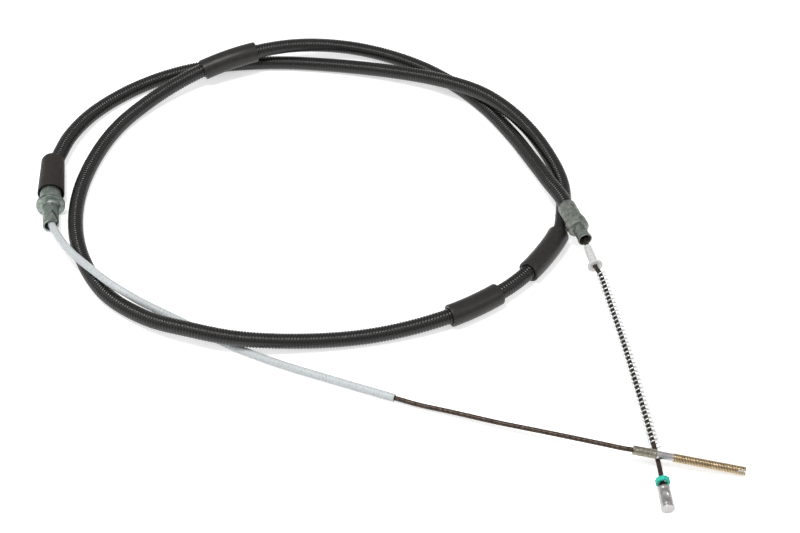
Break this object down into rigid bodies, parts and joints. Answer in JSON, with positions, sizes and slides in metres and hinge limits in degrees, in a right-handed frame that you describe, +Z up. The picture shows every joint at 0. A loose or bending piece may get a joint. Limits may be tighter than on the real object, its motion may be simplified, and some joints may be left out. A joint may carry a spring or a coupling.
{
  "type": "parking brake cable",
  "caption": "Parking brake cable laid as a loose loop: ribbed dark conduit with sleeves, lever end with boot, liner and threaded rod, wheel end with return spring and nipple.",
  "frame": {"origin": "on the table below the middle of the object's bounding box, where it lies as in the picture", "axes": "+X to the right across the loop towards the threaded rod's tip, +Y away from the viewer along the loop, +Z up from the table"},
  "size_m": [0.486, 0.4608, 0.0272],
  "materials": {
    "sheath": "near-black ribbed plastic sheath, satin on the rib crowns",
    "sleeve_rubber": "dark grey satin rubber",
    "boot_rubber": "matte dark brown-grey rubber",
    "steel": "dark oiled stranded steel cable",
    "bright_steel": "bright zinc plated spring wire",
    "zinc": "bluish zinc plated steel",
    "dull_zinc": "dull grey-green zinc plated steel with crimp marks",
    "golden_zinc": "yellow passivated zinc plated steel thread",
    "milky_plastic": "milky translucent natural plastic, smooth",
    "green_plastic": "turquoise green moulded plastic"
  },
  "bodies": {
    "conduit_assembly": {"outer_conduit": "sheath", "conduit_winding": "steel", "liner_tube": "milky_plastic", "inner_cable_core": "steel", "lever_end_ferrule": "zinc", "lever_end_boot": "boot_rubber", "wheel_end_ferrule": "dull_zinc", "protective_sleeve_1": "sleeve_rubber", "protective_sleeve_2": "sleeve_rubber", "protective_sleeve_3": "sleeve_rubber"},
    "lever_end": {"threaded_rod": "golden_zinc", "inner_cable_lever_end": "steel"},
    "wheel_end": {"inner_cable_wheel_end": "steel", "spring_guide_bush": "milky_plastic", "return_spring": "bright_steel", "spring_seat_ring": "green_plastic", "cable_nipple": "zinc"}
  },
  "joints": [
    {"name": "lever_end_pull", "type": "slide", "parent": "conduit_assembly", "child": "lever_end", "axis": [0.9336, -0.3584, 0], "range_m": [0, 0.01]},
    {"name": "wheel_end_draw", "type": "slide", "parent": "conduit_assembly", "child": "wheel_end", "axis": [-0.309, 0.9511, 0], "range_m": [0, 0.01]}
  ],
  "couplings": [
    {"joint": "wheel_end_draw", "follows": "lever_end_pull", "ratio": 1}
  ]
}
